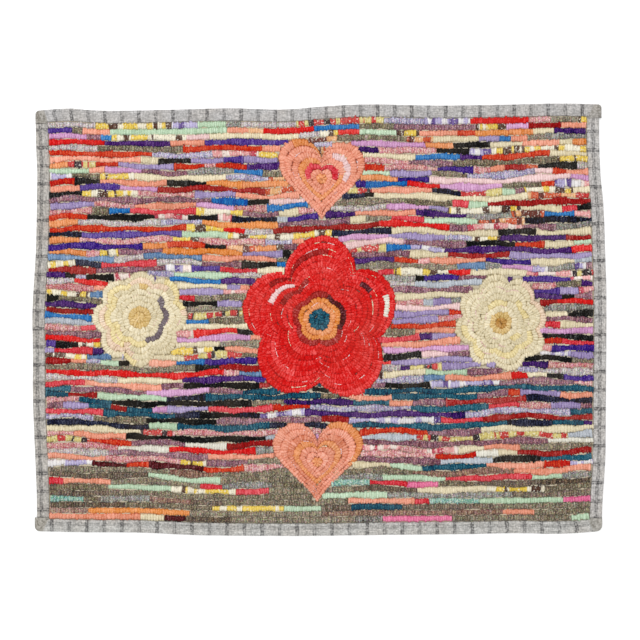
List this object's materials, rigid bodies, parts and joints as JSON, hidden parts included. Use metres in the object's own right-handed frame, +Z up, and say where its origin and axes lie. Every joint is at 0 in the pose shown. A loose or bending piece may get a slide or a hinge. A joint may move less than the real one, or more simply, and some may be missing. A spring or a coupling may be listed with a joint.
{
  "type": "hooked rug",
  "caption": "Flat rectangular hooked rug: rows of rag loops in mixed colours on a burlap ground, edged with folded strips of checked cloth.",
  "frame": {"origin": "middle of the rug's underside, on the floor", "axes": "+X along the long sides, which the rows of loops follow; +Y across; +Z up, out of the pile"},
  "size_m": [1.0067, 0.7581, 0.0083],
  "materials": {
    "pile": "hooked rag loops",
    "binding": "worn woven check cloth",
    "ground": "plain woven burlap"
  },
  "bodies": {
    "root": {"field": "pile", "binding_top": "binding", "binding_bottom": "binding", "binding_left": "binding", "binding_right": "binding"}
  },
  "joints": []
}
